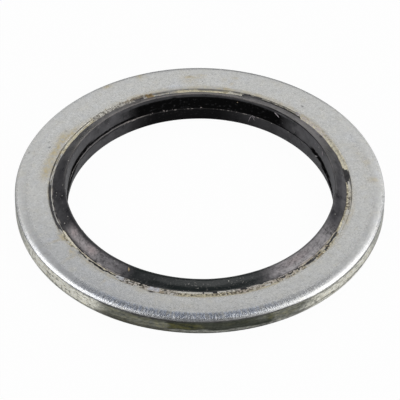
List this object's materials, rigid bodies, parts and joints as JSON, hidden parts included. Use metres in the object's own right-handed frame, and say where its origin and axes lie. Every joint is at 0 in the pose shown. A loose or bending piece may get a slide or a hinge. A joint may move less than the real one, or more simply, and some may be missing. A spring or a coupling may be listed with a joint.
{
  "type": "bonded sealing washer",
  "caption": "Flat zinc-plated steel ring with a black rubber bead bonded into its bore, for sealing under a bolt head or a threaded fitting.",
  "frame": {"origin": "on the washer's axis, in the plane of the lower lip that it rests on", "axes": "+Z along the washer's axis, away from the face it lies on; the ring is round, so X and Y are free"},
  "size_m": [0.026, 0.026, 0.0024],
  "materials": {
    "zinc_plated_steel": "dull zinc plate, tumbled edges",
    "black_rubber": "moulded nitrile rubber, satin"
  },
  "bodies": {
    "root": {"steel_ring": "zinc_plated_steel", "rubber_seal": "black_rubber"}
  },
  "joints": []
}
